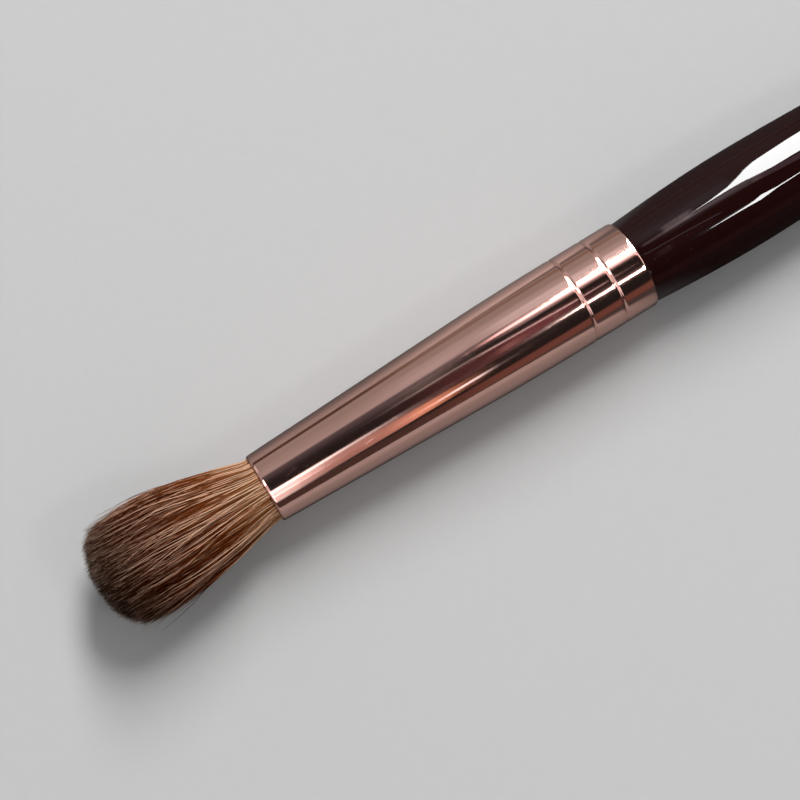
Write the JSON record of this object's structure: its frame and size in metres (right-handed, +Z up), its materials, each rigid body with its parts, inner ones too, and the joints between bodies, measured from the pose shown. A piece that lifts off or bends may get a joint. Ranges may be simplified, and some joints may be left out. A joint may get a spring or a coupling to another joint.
{
  "type": "eyeshadow brush",
  "caption": "Eyeshadow blending brush: round-tipped tuft of natural hair in a tapered polished metal ferrule, crimped onto a slim turned and lacquered wooden handle.",
  "frame": {"origin": "centre of the bounding box's bottom face: the brush lies on its side, and its axis runs level, as far above the origin as the tuft reaches down", "axes": "+X along the brush's axis towards the handle's tail, so the hair points towards -X; +Z up; the brush is round about its axis"},
  "size_m": [0.167, 0.0118, 0.0118],
  "materials": {
    "hair": "soft natural hair, tan at the root, red-brown in the middle, darker olive brown at the tip",
    "root_glue": "hardened clear amber glue with hair roots set in it",
    "thread": "pale cotton thread",
    "ferrule": "polished rose gold plating with fine scratches",
    "handle": "near-black burgundy lacquer, high gloss",
    "tenon_glue": "dried wood glue"
  },
  "bodies": {
    "root": {"hair_tuft": "hair", "root_plug": "root_glue", "binding_thread": "thread", "ferrule": "ferrule", "handle": "handle", "tenon_glue": "tenon_glue"}
  },
  "joints": []
}
